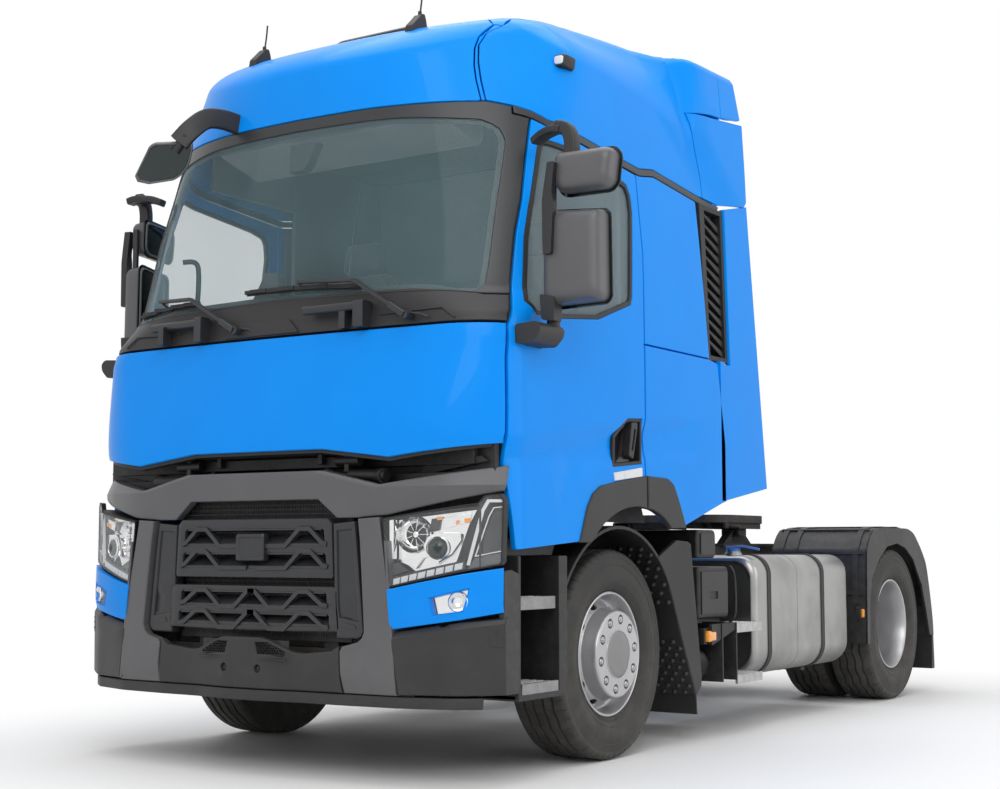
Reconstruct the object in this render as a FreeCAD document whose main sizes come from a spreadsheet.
"""Two-axle cab-over tractor unit for semi-trailers, as a parametric FreeCAD document.

Millimetres. +Z is up, the cab faces -Y and +X is the driver's side (left-hand drive).
Outlines are drawn in truck coordinates: x from the centre plane, y from the front axle,
z from the road. px() and py() carry x and y into the part's own frame.
"""

import FreeCAD, Part
import math
import os

import Sketcher
from FreeCAD import Rotation, Vector

SIZES = {
    "centre_plane": -89.0,
    "front_axle": -1612.0,
    "wheelbase": 3800.0,
    "tyre_radius": 507.0,
    "tyre_width": 312.0,
    "rim_radius": 300.0,
    "front_track_half": 1025.0,
    "twin_outer": 1087.0,
    "twin_inner": 740.0,
    "kingpin_x": 900.0,
    "cab_half": 1250.0,
    "cab_rear": 1140.0,
    "roof_top": 3775.0,
    "wall": 55.0,
    "floor_top": 1490.0,
    "rail_top": 1030.0,
    "rail_height": 270.0,
    "rail_outer": 425.0,
    "rail_flange": 80.0,
    "rail_web": 9.0,
    "tilt_y": -1050.0,
    "tilt_z": 1080.0,
    "tilt_pin": 25.0,
    "plate_top": 1240.0,
    "plate_thick": 50.0,
    "coupling": 3200.0,
    "kingpin_bore": 25.7,
    "tank_front": 1620.0,
    "tank_rear": 3050.0,
    "mirror_x": 1325.0,
    "mirror_y": -800.0,
    "mirror_fold": 75.0,
    "skin_gap": 6.0,
}

document = FreeCAD.newDocument("TractorUnit")
sheet = document.addObject("Spreadsheet::Sheet", "Sizes")
nodes = {}


class Dim:
    """A size in millimetres with the spreadsheet formula that gives it."""

    def __init__(self, value, formula):
        self.value = value
        self.formula = formula

    def __add__(self, other):
        return Dim(self.value + number(other), f"({self.formula} + {written(other)})")

    def __sub__(self, other):
        return Dim(self.value - number(other), f"({self.formula} - {written(other)})")

    def __rsub__(self, other):
        return Dim(number(other) - self.value, f"({written(other)} - {self.formula})")

    def __mul__(self, other):
        return Dim(self.value * number(other), f"({self.formula} * {written(other)})")

    def __neg__(self):
        return Dim(-self.value, f"(0 - {self.formula})")

    __radd__ = __add__
    __rmul__ = __mul__


class Sizes:
    """The spreadsheet's cells by alias."""

    def __init__(self, values):
        for row, (alias, value) in enumerate(values.items(), start=1):
            sheet.set(f"A{row}", alias)
            sheet.set(f"B{row}", str(value))
            sheet.setAlias(f"B{row}", alias)
            setattr(self, alias, Dim(value, f"Sizes.{alias}"))


def number(size):
    return size.value if isinstance(size, Dim) else float(size)


def written(size):
    return size.formula if isinstance(size, Dim) else f"({float(size):g})"


size = Sizes(SIZES)
document.recompute()


def px(x):
    return size.centre_plane + x


def py(y):
    return size.front_axle + y


def bind(item, path, value):
    """Sets one property, and ties it to the sheet when it is given as a Dim."""
    if "." not in path:
        setattr(item, path, number(value))
    if isinstance(value, Dim):
        item.setExpression(path, value.formula)


def place(item, x, y, z, rotation=None):
    """Puts an object's own origin at a point of the part's frame."""
    item.Placement = FreeCAD.Placement(
        Vector(number(x), number(y), number(z)), rotation or Rotation()
    )
    bind(item, "Placement.Base.x", x)
    bind(item, "Placement.Base.y", y)
    bind(item, "Placement.Base.z", z)
    return item


def box(name, xs, ys, zs):
    """A block between two x, two y and two z values, in truck coordinates."""
    solid = document.addObject("Part::Box", name)
    for path, (low, high) in zip(("Length", "Width", "Height"), (xs, ys, zs)):
        bind(solid, path, high - low)
    return place(solid, px(xs[0]), py(ys[0]), zs[0])


def rod(name, start, end, radius):
    """A round bar from one point to another, in truck coordinates."""
    ends = [Vector(*(number(value) for value in point)) for point in (start, end)]
    solid = document.addObject("Part::Cylinder", name)
    bind(solid, "Radius", radius)
    solid.Height = ends[0].distanceToPoint(ends[1])
    turn = Rotation(Vector(0, 0, 1), ends[1] - ends[0])
    return place(solid, px(start[0]), py(start[1]), start[2], turn)


def curve_parts(outline):
    """Turns an outline into edges: a corner is (u, v), an arc's middle is ("via", u, v)."""
    corners = [(index, item) for index, item in enumerate(outline) if item[0] != "via"]
    for place_in_list, (index, start) in enumerate(corners):
        following = outline[(index + 1) % len(outline)]
        end = corners[(place_in_list + 1) % len(corners)][1]
        points = [Vector(number(start[0]), number(start[1]), 0)]
        if following[0] == "via":
            points.append(Vector(number(following[1]), number(following[2]), 0))
        points.append(Vector(number(end[0]), number(end[1]), 0))
        yield Part.Arc(*points) if len(points) == 3 else Part.LineSegment(*points)


PLANES = {
    "XY": (Rotation(), Vector(0, 0, 1)),
    "XZ": (Rotation(Vector(1, 0, 0), 90), Vector(0, 1, 0)),
    "YZ": (Rotation(Vector(1, 1, 1), 120), Vector(1, 0, 0)),
}


def sketch_on(name, plane, outline, level):
    """A closed sketch parallel to a main plane, at a distance along its normal."""
    sketch = document.addObject("Sketcher::SketchObject", name)
    sketch.addGeometry(list(curve_parts(outline)), False)
    rotation, _ = PLANES[plane]
    origin = {
        "XY": (px(0), py(0), level),
        "XZ": (px(0), py(level) if plane == "XZ" else 0, 0),
        "YZ": (px(level) if plane == "YZ" else 0, py(0), 0),
    }[plane]
    return place(sketch, *origin, rotation)


def prism(name, plane, outline, low, high):
    """A solid of one outline between two levels along the plane's normal."""
    solid = document.addObject("Part::Extrusion", name)
    solid.Base = sketch_on(f"{name}_outline", plane, outline, low)
    solid.DirMode = "Custom"
    solid.Dir = PLANES[plane][1]
    solid.Solid = True
    bind(solid, "LengthFwd", high - low)
    return solid


def joined(name, kind, parts):
    """A boolean of several objects: MultiFuse or MultiCommon."""
    result = document.addObject(f"Part::{kind}", name)
    result.Shapes = parts
    return result


def fused(name, *parts):
    return joined(name, "MultiFuse", list(parts))


def common(name, *parts):
    return joined(name, "MultiCommon", list(parts))


def cut(name, base, *tools):
    """One object less one or more others."""
    result = document.addObject("Part::Cut", name)
    result.Base = base
    result.Tool = tools[0] if len(tools) == 1 else fused(f"{name}_tools", *tools)
    return result


def mirrored(name, source):
    """The same object on the truck's other side."""
    result = document.addObject("Part::Mirroring", name)
    result.Source = source
    result.Normal = Vector(1, 0, 0)
    result.Base = Vector(number(size.centre_plane), 0, 0)
    result.setExpression("Base.x", size.centre_plane.formula)
    return result


def node(label, item):
    """Marks an object as a sub-part that is written to its own file."""
    item.Label = label
    nodes[label] = item
    return item


def pair(label, item):
    """A sub-part made of one solid on each side of the truck."""
    return node(label, fused(f"{label}_pair", item, mirrored(f"{label}_twin", item)))


def both_sides(outline):
    """Completes an outline that is given for x > 0, from its first point to its last."""
    other = []
    for item in reversed(outline):
        if item[0] == "via":
            other.append(("via", -number(item[1]), item[2]))
        elif number(item[0]) != 0:
            other.append((-number(item[0]), item[1]))
    return outline + other


# ---------------------------------------------------------------- frame and running gear


def channel_outline():
    """The rail's C section, open towards the centre plane."""
    outer = size.rail_outer
    top = size.rail_top
    low = top - size.rail_height
    inner = outer - size.rail_flange
    web = size.rail_web
    return [
        (outer, low), (outer, top), (inner, top), (inner, top - web),
        (outer - web, top - web), (outer - web, low + web), (inner, low + web), (inner, low),
    ]


def build_frame():
    """Ladder frame, front underrun beam, cab pivot tube and rear cab supports."""
    rail = prism("rail", "XZ", channel_outline(), -1100, 4400)
    parts = [rail, mirrored("rail_twin", rail)]
    reach = size.rail_outer - size.rail_web
    for index, y in enumerate((-1060, 1250, 2250, 3150, 4330)):
        parts.append(box(f"crossmember_{index}", (-reach, reach), (y, y + 60), (800, 990)))
    parts.append(box("underrun_beam", (-950, 950), (-1200, -1110), (430, 570)))
    for side in (-1, 1):
        near, far = sorted((side * 345, side * 425))
        parts.append(box(f"beam_hanger_{near + 900}", (near, far), (-1190, -1100), (430, 1030)))
        parts.append(box(f"pivot_block_{near + 900}", (near, far), (-1090, -1010), (1030, 1070)))
        parts.append(box(f"cab_post_{near + 900}", (near, far), (950, 1030), (1030, 1372)))
    pivot = size.tilt_y
    parts.append(
        rod("pivot_tube", (-520, pivot, size.tilt_z), (520, pivot, size.tilt_z), size.tilt_pin)
    )
    node("frame", fused("frame_solid", *parts))


def build_engine():
    """The engine and gearbox as plain blocks between the rails."""
    engine = box("engine", (-330, 330), (-800, 450), (600, 1330))
    gearbox = box("gearbox", (-220, 220), (450, 1240), (620, 1000))
    shaft = rod("prop_shaft", (0, 1240, 720), (0, 3560, 520), 50)
    node("engine_block", fused("engine_solid", engine, gearbox, shaft))
    node("radiator", box("radiator", (-340, 340), (-1190, -1105), (600, 1230)))


def build_front_axle():
    """Dropped beam with an eye for each kingpin, on leaf springs under the rails."""
    reach = size.kingpin_x
    rail_low = size.rail_top - size.rail_height
    beam = box("axle_beam", (-840, 840), (-50, 50), (455, 560))
    parts = [beam]
    for side in (-1, 1):
        parts.append(rod(f"eye_{side + 1}", (reach * side, 0, 445), (reach * side, 0, 570), 55))
        near, far = sorted((side * 350, side * 420))
        parts.append(box(f"spring_{side + 1}", (near, far), (-760, 760), (560, 600)))
        parts.append(box(f"spring_clamp_{side + 1}", (near, far), (-90, 90), (560, 680)))
        for y in (-760, 700):
            hanger = box(f"hanger_{side + 1}_{y + 1000}", (near, far), (y, y + 60), (560, rail_low))
            parts.append(hanger)
    solid = fused("front_axle_solid", *parts)
    holes = [
        rod(f"eye_bore_{side + 1}", (reach * side, 0, 400), (reach * side, 0, 620), 20.05)
        for side in (-1, 1)
    ]
    node("front_axle", cut("front_axle_bored", solid, *holes))


def build_rear_axle():
    """Drive axle with its bowl, brake cans, trailing arms and air bags."""
    y = size.wheelbase
    height = size.tyre_radius
    rail_low = size.rail_top - size.rail_height
    parts = [
        rod("axle_tube", (-575, y, height), (575, y, height), 78),
        rod("diff_bowl", (-170, y, height), (170, y, height), 215),
    ]
    for side in (-1, 1):
        near, far = sorted((side * 520, side * 890))
        parts.append(rod(f"spindle_{side + 1}", (near, y, height), (far, y, height), 72))
        near, far = sorted((side * 345, side * 425))
        parts.append(box(f"arm_{side + 1}", (near, far), (3300, 4200), (560, 610)))
        for index, bag_y in enumerate((3380, 4120)):
            x = side * 385
            bag = rod(f"bag_{side + 1}_{index}", (x, bag_y, 600), (x, bag_y, rail_low), 70)
            parts.append(bag)
    node("rear_axle", fused("rear_axle_solid", *parts))


def revolved(name, profile, x, y, z, flip=1):
    """A PartDesign revolution about an axis along X; the profile holds (x, radius)."""
    body = document.addObject("PartDesign::Body", name)
    sketch = body.newObject("Sketcher::SketchObject", f"{name}_profile")
    plane = [item for item in body.Origin.OriginFeatures if item.Role == "XY_Plane"][0]
    sketch.AttachmentSupport = (plane, [""])
    sketch.MapMode = "FlatFace"
    flipped = [
        ("via", item[1] * flip, item[2]) if item[0] == "via" else (item[0] * flip, item[1])
        for item in profile
    ]
    sketch.addGeometry(list(curve_parts(flipped)), False)
    turned = body.newObject("PartDesign::Revolution", f"{name}_revolution")
    turned.Profile = sketch
    turned.ReferenceAxis = (sketch, ["H_Axis"])
    turned.Angle = 360
    body.Tip = turned
    place(body, px(x), py(y), z)
    return body


def tyre_profile(shift=0.0):
    """Half of a tyre section: crown, shoulder, side wall and bead."""
    half = number(size.tyre_width) / 2
    radius = number(size.tyre_radius)
    bead = number(size.rim_radius) + 2
    side = [
        (half - 42, radius), ("via", half - 14, radius - 14), (half - 10, radius - 45),
        ("via", half, 400), (half - 14, bead + 18), (half - 34, bead),
    ]
    mirror = [
        ("via", -item[1], item[2]) if item[0] == "via" else (-item[0], item[1])
        for item in reversed(side)
    ]
    return [
        ("via", item[1] + shift, item[2]) if item[0] == "via" else (item[0] + shift, item[1])
        for item in side + mirror
    ]


def front_rim_profile():
    """Disc wheel with its bulged centre facing out, hub and bore included."""
    outer = number(size.rim_radius)
    return [
        (-118, outer - 14), (-118, outer), (-106, outer), (-100, outer - 12), (100, outer - 12),
        (106, outer), (122, outer), (122, outer - 14), (70, outer - 26), (70, 235),
        (104, 200), (104, 150), (150, 132), (150, 35.05), (-22, 35.05), (-22, 110),
        (78, 125), (88, 150), (86, 190), (52, 226), (52, outer - 26),
    ]


def rear_rim_profile():
    """Two rims bolted back to back about one drive hub; x is from the outer tyre's centre."""
    outer = number(size.rim_radius)
    inner_tyre = number(size.twin_inner) - number(size.twin_outer)
    return [
        (-126, outer - 14), (-126, outer), (-112, outer), (-106, outer - 12), (118, outer - 12),
        (124, outer), (142, outer), (142, outer - 14), (-100, outer - 28), (-140, 215),
        (-140, 150), (-20, 135), (-20, 0), (-40, 0), (-185, 0), (-185, 80.0),
        (inner_tyre - 60, 80.0), (inner_tyre - 60, 110), (-200, 140), (-200, 215),
        (inner_tyre + 100, outer - 28), (inner_tyre - 142, outer - 14),
        (inner_tyre - 142, outer), (inner_tyre - 124, outer), (inner_tyre - 118, outer - 12),
        (inner_tyre + 106, outer - 12), (inner_tyre + 112, outer), (inner_tyre + 126, outer),
        (inner_tyre + 126, outer - 14), (-172, 240), (-172, 215),
    ]


def build_wheels():
    """Single front wheels and twin rear wheels, left and right."""
    height = size.tyre_radius
    for side, word in ((1, "left"), (-1, "right")):
        x = size.front_track_half * side
        front = revolved(f"rim_front_{word}", front_rim_profile(), x, 0, height, side)
        node(f"rim_front_{word}", front)
        node(f"tyre_front_{word}", revolved(f"tyre_front_{word}", tyre_profile(), x, 0, height))
        x = size.twin_outer * side
        rear = revolved(f"rim_rear_{word}", rear_rim_profile(), x, size.wheelbase, height, side)
        node(f"rim_rear_{word}", rear)
        twins = [
            revolved(f"tyre_{place_name}_{word}", tyre_profile(), at * side, size.wheelbase, height)
            for place_name, at in (("outer", size.twin_outer), ("inner", size.twin_inner))
        ]
        node(f"tyres_rear_{word}", fused(f"tyres_rear_{word}_pair", *twins))


def build_knuckles():
    """Each knuckle holds its kingpin, a fork above and below the beam's eye, and a stub."""
    for side, word in ((1, "left"), (-1, "right")):
        x = size.kingpin_x * side
        near, far = sorted((side * 966, side * 996))
        parts = [
            rod(f"kingpin_{word}", (x, 0, 380), (x, 0, 640), 20),
            rod(f"fork_low_{word}", (x, 0, 370), (x, 0, 430), 60),
            rod(f"fork_high_{word}", (x, 0, 585), (x, 0, 645), 60),
            box(f"fork_back_{word}", (near, far), (-55, 55), (370, 645)),
            box(f"fork_web_low_{word}", sorted_pair(side * 900, side * 980), (-55, 55), (370, 430)),
            box(f"fork_web_high_{word}", sorted_pair(side * 900, side * 980), (-55, 55), (585, 645)),
            rod(f"stub_{word}", (side * 980, 0, 507), (side * 1165, 0, 507), 35),
        ]
        node(f"knuckle_{word}", fused(f"knuckle_{word}_solid", *parts))


def sorted_pair(first, second):
    return (min(first, second), max(first, second))


# ------------------------------------------------------------------------ lower body


def bumper_line(x_and_y, thick, rear):
    """Plan outline of a front skin: its outer points for x > 0, and how thick it is."""
    back = [(max(x - thick * 0.8, 0), y + thick) for x, y in reversed(x_and_y)]
    corner_x = x_and_y[-1][0]
    side = [(corner_x, rear), (corner_x - thick, rear)]
    half = list(x_and_y) + side + [(corner_x - thick, x_and_y[-1][1] + thick)] + back[1:]
    return half


FRONT_LOW = [(0, -1375), (111, -1375), (321, -1342), (561, -1338), (839, -1312), (1080, -1235),
             (1250, -1100)]
FRONT_LAMP = [(0, -1335), (600, -1318), (800, -1304), (1060, -1215), (1250, -1092)]


def skin(name, plan, thick, rear, outline, low_x=None):
    """A piece of the curved front: a plan band cut to an outline in front view."""
    band_points = both_sides(bumper_line(plan, thick, rear))
    band = prism(f"{name}_band", "XY", band_points, 300, 1420)
    mask = prism(f"{name}_mask", "XZ", outline, -1500, -700)
    return common(name, band, mask)


def build_bumper():
    """Centre bumper with its tow holes, and the two dark corners."""
    outline = both_sides([
        (0, 617), (111, 617), (321, 552), (531, 599), (606, 620), (556, 386), (0, 386),
    ])
    centre = skin("bumper_skin", FRONT_LOW, 45, -960, outline)
    holes = [rod(f"tow_hole_{x + 200}", (x, -1500, 478), (x, -1200, 478), 27) for x in (-102, 102)]
    lip = skin("lip_skin", [(x, y + 8) for x, y in FRONT_LOW], 90, -1095,
               both_sides([(0, 386), (1245, 386), (1245, 331), (0, 331)]))
    node("bumper", fused("bumper_solid", cut("bumper_bored", centre, *holes), lip))
    corner = skin("corner_skin", FRONT_LOW, 50, -962, [
        (838, 390), (1260, 390), (1260, 722), (1100, 706), (808, 656),
    ])
    pair("bumper_corners", corner)


def build_grille():
    """Grey arch with two pillars, the grille panels inside it, and the side ducts."""
    outline = both_sides([
        (0, 1366), (411, 1366), (724, 1297), (1178, 1376), (1178, 1262), (776, 1162),
        (770, 860), (834, 392), (562, 392), (680, 629), (611, 1152), (495, 1152), (405, 1237),
        (0, 1237),
    ])
    arch_plan = [(0, -1316), (405, -1316), (724, -1292), (1000, -1190), (1176, -1052)]
    band = prism("arch_band", "XY", both_sides(bumper_line(arch_plan, 50, -1046)), 1162, 1400)
    low_plan = [(0, -1345), (561, -1340), (690, -1330), (850, -1312), (852, -1300)]
    low_band = prism("pillar_band", "XY", both_sides(bumper_line(low_plan, 50, -1260)), 390, 1162)
    mask = prism("arch_mask", "XZ", outline, -1500, -900)
    arch = common("arch_piece", fused("arch_bands", band, low_band), mask)
    node("grille_frame", arch)
    upper = [(0, 1150), (472, 1150), (500, 892), (0, 892)]
    lower = [(0, 832), (508, 832), (522, 650), (0, 650)]
    ducts = [(486, 1130), (604, 1130), (655, 650), (532, 650)]
    panels = [
        prism("upper_panel", "XZ", both_sides(upper), -1300, -1270),
        prism("lower_panel", "XZ", both_sides(lower), -1300, -1270),
        prism("panel_bridge", "XZ", both_sides([(0, 900), (500, 900), (508, 825), (0, 825)]),
              -1290, -1270),
        prism("duct_left", "XZ", ducts, -1300, -1270),
        prism("duct_right", "XZ", [(-x, z) for x, z in ducts], -1300, -1270),
        prism("grille_top", "XZ", both_sides([
            (0, 1120), (462, 1120), (480, 1146), (398, 1230), (0, 1230),
        ]), -1294, -1274),
        box("duct_bridge_left", (470, 560), (-1290, -1270), (700, 1100)),
        box("duct_bridge_right", (-560, -470), (-1290, -1270), (700, 1100)),
    ]
    node("grille", fused("grille_solid", *panels))


def build_lamps():
    """Headlamps and the blue panels below them."""
    lamp = skin("lamp_skin", FRONT_LAMP, 120, -1046, [
        (782, 850), (1234, 925), (1178, 982), (1158, 1226), (782, 1152),
    ])
    pair("headlamps", lamp)
    panel = skin("lamp_panel_skin", FRONT_LAMP, 50, -965, [
        (812, 662), (1100, 712), (1255, 728), (1255, 912), (1236, 918), (782, 843),
    ])
    pair("lamp_panels", panel)


def build_steps():
    """Entry steps ahead of the front wheels: a well with two treads."""
    depth = (-962, -622)
    parts = [
        box("step_front", (780, 1232), (-962, -942), (360, 985)),
        box("step_rear", (780, 1232), (-642, -622), (360, 985)),
        box("step_inner", (780, 800), depth, (360, 985)),
        box("tread_high", (780, 1228), depth, (776, 800)),
        box("tread_low", (780, 1240), depth, (396, 420)),
        box("step_sill", (780, 1244), depth, (355, 375)),
    ]
    pair("entry_steps", fused("step_solid", *parts))


def build_front_mudguards():
    """A liner over the steered wheel and the flange behind it."""
    centre = number(size.tyre_radius)

    def on_arc(radius, degrees):
        angle = math.radians(degrees)
        return (radius * math.cos(angle), centre + radius * math.sin(angle))

    band = [
        on_arc(602, 158), ("via", *on_arc(602, 90)), on_arc(602, 22), (640, 560), (800, 250),
        (822, 262), (664, 566), on_arc(624, 22), ("via", *on_arc(624, 90)), on_arc(624, 158),
    ]
    flange = [
        on_arc(606, 45), ("via", *on_arc(606, 34)), on_arc(606, 24), (650, 562), (810, 250),
        (862, 310), (756, 1046),
    ]
    liner = prism("liner", "YZ", band, 610, 1215)
    side = prism("liner_flange", "YZ", flange, 1190, 1215)
    pair("front_mudguards", fused("mudguard_solid", liner, side))


def build_tanks():
    """Fuel tanks on both sides and the equipment between them and the front wheels."""
    tank = prism("tank", "XZ", [
        (770, 285), (1050, 285), ("via", 1156, 329), (1200, 435), (1200, 860), ("via", 1165, 945),
        (1080, 980), (740, 980), ("via", 655, 945), (620, 860), (620, 435), ("via", 664, 329),
    ], size.tank_front, size.tank_rear)
    pair("fuel_tanks", tank)
    brackets = [
        box(f"tank_bracket_{y}", (426, 620), (y, y + 60), (820, 900)) for y in (1800, 2600)
    ]
    pair("tank_brackets", fused("tank_bracket_solid", *brackets))
    low = box("battery_box", (430, 1010), (1000, 1580), (300, 620))
    mid = box("air_box", (430, 1190), (905, 1270), (640, 920))
    high = box("filter_box", (430, 1180), (905, 1130), (960, 1120))
    web = box("box_web", (430, 600), (1000, 1130), (300, 1120))
    node("equipment_boxes", fused("equipment_solid", low, mid, high, web))
    silencer = box("silencer_can", (-1190, -560), (930, 1560), (330, 960))
    stay = box("silencer_stay", (-560, -426), (1100, 1400), (800, 900))
    node("silencer", fused("silencer_solid", silencer, stay))
    treads = [box(f"tread_{z}", (1035, 1240), (1010, 1560), (z, z + 22)) for z in (310, 585)]
    posts = [box(f"tread_post_{y}", (1030, 1070), (y, y + 30), (300, 607)) for y in (1010, 1530)]
    node("side_steps", fused("side_step_solid", *treads, *posts))


def build_deck():
    """Walkway plate behind the cab."""
    node("deck", box("deck_plate", (-420, 420), (1760, 2620), (1030, 1048)))


def build_rear_fenders():
    """Three-section covers over the twin wheels, with a flap and a lamp at the rear."""
    outer = [
        (3250, 395), (3268, 950), (3390, 1130), (3520, 1152), (3985, 1156), (4215, 1120),
        (4470, 860), (4580, 400), (4600, 160), (4575, 160), (4552, 400), (4445, 850),
        (4200, 1094), (3985, 1130), (3525, 1126), (3408, 1108), (3294, 944), (3276, 395),
    ]
    cover = prism("cover", "YZ", outer, 575, 1250)
    lip = prism("cover_lip", "YZ", [
        (3250, 395), (3268, 950), (3390, 1130), (3520, 1152), (3985, 1156), (4215, 1120),
        (4470, 860), (4580, 400), (4500, 400), (4350, 760), (4180, 960),
        ("via", 3860, 1060), (3480, 960), (3310, 700), (3300, 395),
    ], 1238, 1250)
    stays = [box(f"cover_stay_{y}", (426, 600), (y, y + 40), (y_top - 40, y_top))
             for y, y_top in ((3560, 1010), (4180, 1010))]
    risers = [box(f"cover_riser_{y}", (576, 600), (y, y + 40), (970, top))
              for y, top in ((3560, 1140), (4180, 1112))]
    pair("rear_fenders", fused("fender_solid", cover, lip, *stays, *risers))
    lamp = box("tail_lamp", (640, 1060), (4486, 4556), (690, 830))
    pair("tail_lamps", cut("tail_lamp_fitted", lamp, cover))


def build_fifth_wheel():
    """The coupling's base on the rails, and the plate that tilts on it."""
    y = size.coupling
    base = box("base_plate", (-450, 450), (2780, 3640), (1030, 1050))
    parts = [base]
    for side in (-1, 1):
        xs = sorted_pair(side * 300, side * 360)
        parts.append(box(f"bearing_{side + 1}", xs, (y - 90, y + 90), (1050, 1140)))
        parts.append(rod(f"bearing_top_{side + 1}", (xs[0], y, 1140), (xs[1], y, 1140), 36))
    node("fifth_wheel_base", fused("fifth_base_solid", *parts))
    node("fifth_wheel_plate", fifth_wheel_plate())


def fifth_wheel_plate():
    """Horseshoe plate: pad, throat and kingpin bore, ribs below and trunnion cheeks."""
    top = size.plate_top
    low = top - size.plate_thick
    outline = both_sides([
        (0, 2748), (240, 2748), ("via", 400, 2830), (450, 3000), (450, 3400), (330, 3660),
        (205, 3660), (52, 3330), (0, 3330),
    ])
    plate = prism("plate_pad", "XY", outline, low, top)
    bore = rod("plate_bore", (0, size.coupling, 1150), (0, size.coupling, 1300),
               size.kingpin_bore)
    cheeks = []
    for side in (-1, 1):
        for index, (near, far) in enumerate(((266, 292), (368, 394))):
            xs = sorted_pair(side * near, side * far)
            ys = (size.coupling - 60, size.coupling + 60)
            cheeks.append(box(f"cheek_{side + 1}_{index}", xs, ys, (1105, 1195)))
    skirt = box("plate_rib", (-260, 260), (2840, 2880), (1150, 1195))
    return cut("plate_bored", fused("plate_solid", plate, skirt, *cheeks), bore)


# ------------------------------------------------------------------------------- cab


RINGS = ((1000, 0, -1320), (1465, 0, -1300), (2010, 0, -1180), (2985, -40, -1035))


def ring(width, nose, rear, inset=0.0):
    """Plan outline of the cab at one height: flat sides, rounded corners, bowed front."""
    half = width - inset
    nose = nose + inset
    rear = rear - inset
    return [
        (half, rear), (half, nose + 380), ("via", half - 55, nose + 215), (half - 450, nose + 20),
        ("via", 0, nose), (450 - half, nose + 20), ("via", 55 - half, nose + 215),
        (-half, nose + 380), (-half, rear),
    ]


def lofted(name, rings, inset):
    """A ruled loft through plan outlines, one per height."""
    width = number(size.cab_half)
    rear = number(size.cab_rear)
    loft = document.addObject("Part::Loft", name)
    loft.Sections = [
        sketch_on(f"{name}_{index}", "XY", ring(width + change, nose, rear, inset), z)
        for index, (z, change, nose) in enumerate(rings)
    ]
    loft.Solid = True
    loft.Ruled = True
    return loft


def door_outline(gap):
    """The door in side view, smaller than its doorway by a gap all round."""
    return [
        (-1030 + gap, 1004 + gap), (-1030 + gap, 1660), (-800 + gap, 2940 - gap),
        (150 - gap, 2940 - gap), (205 - gap, 2020), (205 - gap, 1218 + gap),
        ("via", -73, 1197 + gap), (-351, 1049 + gap), (-458, 1045 + gap), (-1005, 1004 + gap),
    ]


WINDOW = [
    (-915, 2195), (-790, 2120), (-619, 2080), (10, 2104), (76, 2170), (90, 2256), (-45, 2828),
    (-85, 2850), (-770, 2850), (-806, 2815),
]
DOORWAY = [
    (-1030, 900), (-1030, 1660), (-800, 2940), (150, 2940), (205, 2020), (205, 900),
]
SIDE = [
    (-796, 2985), (-796, 2900), (120, 2900), (150, 1224), ("via", 330, 1192), (469, 1125),
    (610, 1127), (1084, 1259), (1084, 2985),
]
LOUVRE = [(878, 2890), (1148, 2890), (1148, 2040), (966, 2040)]
DEFLECTOR = [
    (1146, 1280), (1712, 1360), (1482, 2978), (1158, 2978), (1160, 2890), (1204, 2036),
    (1146, 2026),
]


def build_cab_shell():
    """Side walls with their door openings, doors, windows, front, back and lid."""
    outer = lofted("cab_outer", RINGS, 0)
    low, high = (990, 0, -1320), (3000, -40, -1033)
    inner_rings = [low, *RINGS[1:-1], high]
    shell = cut("cab_shell", outer, lofted("cab_inner", inner_rings, number(size.wall)))
    limit = 1400
    opening = prism("door_opening", "YZ", DOORWAY, 900, limit)
    side_mask = prism("side_mask", "YZ", SIDE, 900, limit)
    louvre_hole = prism("louvre_hole", "YZ", LOUVRE, 1152, limit)
    side = cut("side_wall", common("side_piece", shell, side_mask), opening, louvre_hole)
    pair("cab_sides", side)
    gap = number(size.skin_gap)
    door_mask = prism("door_mask", "YZ", door_outline(gap), 900, limit)
    window_hole = prism("window_hole", "YZ", WINDOW, 900, limit)
    lamp_room = box("lamp_room", (900, 1186), (-1100, -900), (990, 1420))
    door = cut("door_panel", common("door_piece", shell, door_mask), window_hole, lamp_room)
    node("door_left", door)
    node("door_right", mirrored("door_twin", door))
    pane_skin = cut("pane_skin", lofted("pane_outer", RINGS, 20), lofted("pane_inner", RINGS, 26))
    pane = common("pane", pane_skin, prism("pane_mask", "YZ", WINDOW, 900, limit))
    node("door_window_left", pane)
    node("door_window_right", mirrored("pane_twin", pane))
    wall_mask = box("wall_mask", (-1260, 1260), (1084.5, 1160), (1276, 2984))
    wall = common("wall_piece", shell, wall_mask)
    hole_twin = mirrored("louvre_hole_twin", louvre_hole)
    node("cab_back_wall", cut("wall_notched", wall, louvre_hole, hole_twin))
    build_cab_front(shell)


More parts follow.
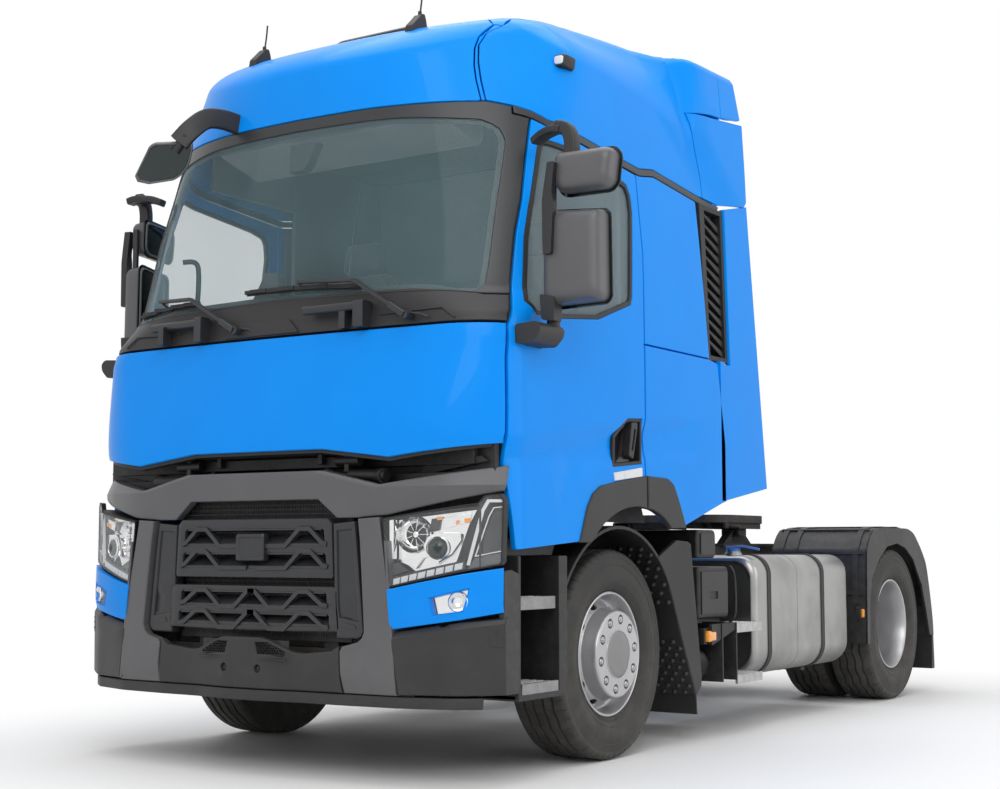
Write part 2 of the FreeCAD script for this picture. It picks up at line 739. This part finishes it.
def build_cab_front(shell):
    """Screen surround with its bulkhead, the front lid, and the windscreen."""
    gap = number(size.skin_gap)
    screen = both_sides([(0, 2192), (1075, 2192), (1040, 3062), (0, 3062)])
    hole = prism("screen_hole", "XZ", screen, -1500, -600)
    front_mask = prism("front_mask", "YZ", [
        (-1400, 2016), (-972, 2016), (-806, 2942), (-806, 2985), (-1400, 2985),
    ], -1260, 1260)
    surround = cut("surround", common("front_piece", shell, front_mask), hole)
    sill = box("scuttle_shelf", (-780, 780), (-1112, -1045), (2016, 2050))
    bulkhead = box("bulkhead", (-780, 780), (-1078, -1045), (1482, 2050))
    node("cab_front", fused("cab_front_solid", surround, sill, bulkhead))
    lid_outline = both_sides([
        (0, 2010), (1197, 2010), (1197, 1470), (1120, 1466), (766, 1420), (392, 1466), (0, 1466),
    ])
    lid_mask = prism("lid_mask", "XZ", lid_outline, -1500, -1036)
    node("front_panel", common("lid_piece", shell, lid_mask))
    rings = ((2100, -4, -1167), (3150, -46, -1010))
    glass_skin = cut("glass_skin", lofted("glass_outer", rings, 22), lofted("glass_inner", rings, 28))
    mask = prism("glass_mask", "XZ", both_sides([
        (0, 2192 + gap), (1070, 2192 + gap), (1034, 3062 - gap), (0, 3062 - gap),
    ]), -1500, -640)
    node("windscreen", common("glass", glass_skin, mask))


def roof_side(inset=0.0):
    """Roof in side view: upright brow, rounded nose, and a back that climbs to the rear."""
    top = number(size.roof_top) - inset
    return [
        (-1035 + inset, 2980), (-1012 + inset, 3290), ("via", -930 + inset, 3430 - inset),
        (-748 + inset * 0.6, 3528 - inset), ("via", -150, 3662 - inset), (560, 3730 - inset),
        (1140, top), (1140, 2980),
    ]


def roof_front(inset=0.0):
    """Roof in front view: leaning sides, a soft crease and rounded shoulders."""
    top = number(size.roof_top) - inset
    return both_sides([
        (0, top), (700, top - 12), ("via", 980, top - 62), (1105 - inset, 3600 - inset * 0.5),
        (1166 - inset, 3470), (1208 - inset, 2980),
    ])


def build_roof():
    """High roof over the belt line, and the air deflectors behind it."""
    shapes = {}
    for word, inset in (("outer", 0.0), ("inner", 50.0)):
        plan = ring(1210, -1032, 1140, inset)
        low = 2985 if word == "outer" else 2975
        shapes[word] = common(
            f"roof_{word}",
            prism(f"roof_plan_{word}", "XY", plan, low, 3900),
            prism(f"roof_side_{word}", "YZ", roof_side(inset), -1300, 1300),
            prism(f"roof_front_{word}", "XZ", roof_front(inset), -1500, 1140 - inset),
        )
    screen = prism("roof_screen_hole", "XZ", both_sides([
        (0, 2900), (1046, 2900), (1040, 3062), (0, 3062),
    ]), -1500, -700)
    seam = prism("deflector_seam", "YZ", [
        (686, 3352), (816, 3161), (892, 2960), (1200, 2960), (1200, 3425), (1010, 3400),
    ], 1060, 1300)
    seam_twin = mirrored("deflector_seam_twin", seam)
    roof = cut("roof_solid", shapes["outer"], shapes["inner"], screen, seam, seam_twin)
    node("cab_roof", roof)
    build_deflectors()


def build_deflectors():
    """Roof fairing side plates and top, lower side deflectors, and louvre panels."""
    top = number(size.roof_top)
    side_plan = [
        (700, 3346), (824, 3164), (900, 2990), (1120, 2990), (1464, 2990), (1395, 3430),
        (1020, 3396),
    ]
    outer_mask = prism("fairing_mask", "YZ", side_plan, 1060, 1300)
    profile = [(1208, 2980), (1166, 3470), (1138, 3470), (1180, 2980)]
    side = common("fairing_side", outer_mask, prism("fairing_skin", "XZ", profile, 600, 1500))
    pair("roof_side_deflectors", side)
    spoiler_outer = prism("spoiler_outer", "XZ", roof_front(), 1146, 1480)
    spoiler_inner = prism("spoiler_inner", "XZ", roof_front(32.0), 1140, 1490)
    trailing = prism("spoiler_mask", "YZ", [
        (1146, 3440), (1478, 3470), (1345, top), (1146, top),
    ], -1300, 1300)
    node("roof_spoiler", common("spoiler", cut("spoiler_skin", spoiler_outer, spoiler_inner),
                                trailing))
    panel = prism("deflector_panel", "YZ", DEFLECTOR, 1200, 1232)
    pair("side_deflectors", panel)
    louvre = prism("louvre_panel", "YZ", [
        (884, 2884), (1152, 2884), (1196, 2046), (972, 2046),
    ], 1160, 1190)
    pair("louvres", louvre)


def build_cab_floor():
    """Floor, its two bearers, and the arms that hang the cab on its pivot tube."""
    parts = [box("floor", (-1140, 1140), (-925, 1084), (1450, size.floor_top))]
    pivot = (size.tilt_y, size.tilt_z)
    for side in (-1, 1):
        xs = sorted_pair(side * 440, side * 500)
        parts.append(box(f"bearer_{side + 1}", xs, (-780, 1080), (1382, 1450)))
        arm = prism(f"tilt_arm_{side + 1}", "YZ", [
            (-1088, 1062), (-1074, 1112), (-830, 1450), (-700, 1450), (-1018, 1046),
        ], *xs)
        boss = rod(f"tilt_boss_{side + 1}", (xs[0], *pivot), (xs[1], *pivot), 44)
        parts.extend((arm, boss))
    bore = rod("tilt_bore", (-560, *pivot), (560, *pivot), size.tilt_pin + 0.05)
    node("cab_floor", cut("floor_bored", fused("floor_solid", *parts), bore))


def build_interior():
    """Dashboard, steering wheel, two seats and the bunk."""
    dash = prism("dash", "YZ", [
        (-1000, 1780), (-1000, 2150), (-850, 2140), (-720, 2010), (-650, 1850), (-720, 1760),
    ], -1000, 1000)
    console = box("dash_leg", (-160, 160), (-1000, -760), (size.floor_top, 1780))
    node("dashboard", fused("dash_solid", dash, console))
    wheel = document.addObject("Part::Torus", "steering_rim")
    wheel.Radius1 = 222
    wheel.Radius2 = 15
    lean = Rotation(Vector(1, 0, 0), -28)
    place(wheel, px(550), py(-548), 2085, lean)
    column = rod("steering_column", (550, -548, 2085), (550, -700, 1800), 28)
    spoke = box("steering_spoke", (335, 765), (-568, -528), (2072, 2092))
    node("steering_wheel", cut("steering_fitted", fused("steering_solid", wheel, column, spoke), dash))
    seats = []
    for index, x in enumerate((-550, 550)):
        seats.extend((
            box(f"seat_base_{index}", (x - 190, x + 190), (-260, 200), (size.floor_top, 1860)),
            box(f"cushion_{index}", (x - 250, x + 250), (-330, 240), (1860, 1990)),
            box(f"backrest_{index}", (x - 240, x + 240), (150, 290), (1990, 2560)),
            box(f"headrest_{index}", (x - 150, x + 150), (170, 270), (2560, 2740)),
        ))
    node("seats", fused("seat_solids", *seats))
    base = box("bunk_base", (-1150, 1150), (520, 1070), (size.floor_top, 1930))
    mattress = box("mattress", (-1150, 1150), (500, 1070), (1930, 2080))
    node("bunk", fused("bunk_solid", base, mattress))


def build_screen_gear():
    """Two wipers on the scuttle, the roof lamps, horn cover and aerials."""
    # each wiper: pivot, elbow and end of the arm, then the blade's two ends
    wiper_points = (
        ((790, -1172, 2056), (500, -1200, 2238), (160, -1196, 2266),
         (500, -1182, 2214), (-190, -1182, 2240)),
        ((-220, -1182, 2060), (-530, -1196, 2238), (-780, -1172, 2254),
         (-500, -1186, 2216), (-975, -1140, 2196)),
    )
    wipers = []
    for index, (foot, elbow, tip, near, far) in enumerate(wiper_points):
        knee = (foot[0], foot[1] - 36, foot[2])
        middle = tuple((a + b) / 2 for a, b in zip(near, far))
        name = f"wiper_{index}"
        wipers.append(rod(f"{name}_pivot", foot, knee, 20))
        wipers.append(rod(f"{name}_arm", (knee[0], knee[1] + 8, knee[2]), elbow, 9))
        wipers.append(rod(f"{name}_reach", elbow, tip, 9))
        wipers.append(rod(f"{name}_link", tip, middle, 8))
        wipers.append(rod(f"{name}_blade", near, far, 10))
    node("wipers", fused("wiper_solids", *wipers))
    fittings = []
    for side in (-1, 1):
        x = 505 * side
        fittings.append(box(f"aerial_base_{side + 1}", sorted_pair(x - 22, x + 22),
                            (-790, -700), (3500, 3565)))
        fittings.append(rod(f"aerial_{side + 1}", (x, -735, 3550), (x, -700, 3765), 5))
        xs = sorted_pair(1130 * side, 1200 * side)
        fittings.append(box(f"marker_{side + 1}", xs, (-480, -380), (3345, 3385)))
    fittings.append(box("hatch", (-300, 300), (-420, 180), (3630, 3742)))
    roof = document.getObject("roof_outer")
    node("roof_fittings", cut("fittings_on_roof", fused("fitting_solids", *fittings), roof))


def mirror_solid(name):
    """A tall and a small mirror head on one upright arm."""
    x = size.mirror_x
    y = size.mirror_y
    parts = [
        box(f"{name}_main", (1300, 1600), (-858, -746), (2095, 2475)),
        box(f"{name}_wide", (1352, 1650), (-855, -750), (2605, 2790)),
        rod(f"{name}_upright", (x, y, 1990), (x, y, 2895), 17),
        box(f"{name}_link", (1310, 1400), (-820, -780), (2680, 2720)),
    ]
    return fused(f"{name}_solid", *parts)


def mirror_bracket(name):
    """The door's two brackets that the upright arm turns in."""
    y = -800
    parts = [
        box(f"{name}_low", (1252, 1352), (-905, -745), (1905, 1985)),
        box(f"{name}_top", (1214, 1352), (y - 30, y + 30), (2900, 2932)),
        box(f"{name}_foot", (1214, 1240), (y - 30, y + 90), (2868, 2932)),
    ]
    return fused(f"{name}_solid", *parts)


def build_mirrors():
    """Door mirrors: the driver's is out, the other is folded back along its door."""
    bracket = mirror_bracket("bracket_left")
    node("mirror_bracket_left", bracket)
    node("mirror_bracket_right", mirrored("bracket_right", bracket))
    left = mirror_solid("mirror_left")
    node("mirror_left", left)
    open_right = mirrored("mirror_right_open", left)
    folded = document.addObject("Part::Compound", "mirror_right_folded")
    folded.Links = [open_right]
    x = number(px(-1 * size.mirror_x))
    y = number(py(size.mirror_y))
    pivot = Vector(x, y, 0)
    turn = Rotation(Vector(0, 0, 1), -number(size.mirror_fold))
    folded.Placement = FreeCAD.Placement(Vector(), turn, pivot)
    node("mirror_right", folded)


def build_front_mirror():
    """Front mirror head on an arm from the brow, ahead of the screen's kerb half."""
    head = prism("front_head", "XZ", [
        (-775, 2880), (-750, 2836), (-650, 2815), (-500, 2820), (-400, 2920), (-395, 2967),
        (-428, 3002), (-583, 3013), (-690, 2985),
    ], -1370, -1250)
    bend = (-450, -1180, 3128)
    parts = [
        head,
        rod("arm_root", (-425, -985, 3145), bend, 34),
        rod("arm_reach", bend, (-500, -1310, 2985), 30),
    ]
    arms = fused("front_mirror_solid", *parts)
    node("front_mirror", cut("front_mirror_fitted", arms, document.getObject("roof_outer")))


# ----------------------------------------------------------------------------- write


def check():
    """Stops if an object failed or a sub-part has no sound solid."""
    for item in document.Objects:
        if "Invalid" in item.State or "Error" in item.State:
            raise RuntimeError(f"{item.Name} failed: {item.State}")
    unsound = [
        label for label, item in nodes.items()
        if item.Shape.isNull() or not item.Shape.isValid() or not item.Shape.Solids
    ]
    if unsound:
        raise RuntimeError(f"no sound solid: {unsound}")


def main():
    """Builds every sub-part, checks it and writes one file for each."""
    for build in (
        build_frame, build_engine, build_front_axle, build_rear_axle, build_wheels,
        build_knuckles, build_bumper, build_grille, build_lamps, build_steps,
        build_front_mudguards, build_tanks, build_deck, build_rear_fenders, build_fifth_wheel,
        build_cab_shell, build_roof, build_cab_floor, build_interior, build_screen_gear,
        build_mirrors, build_front_mirror,
    ):
        build()
    document.recompute()
    check()
    os.makedirs("parts", exist_ok=True)
    for label, item in nodes.items():
        item.Shape.exportStep(f"parts/{label}.step")
        box_of = item.Shape.BoundBox
        print(f"{label}: {len(item.Shape.Solids)} solids, {item.Shape.Volume / 1e6:.1f} litres, "
              f"x {box_of.XMin:.0f}..{box_of.XMax:.0f} y {box_of.YMin:.0f}..{box_of.YMax:.0f} "
              f"z {box_of.ZMin:.0f}..{box_of.ZMax:.0f}")


main()
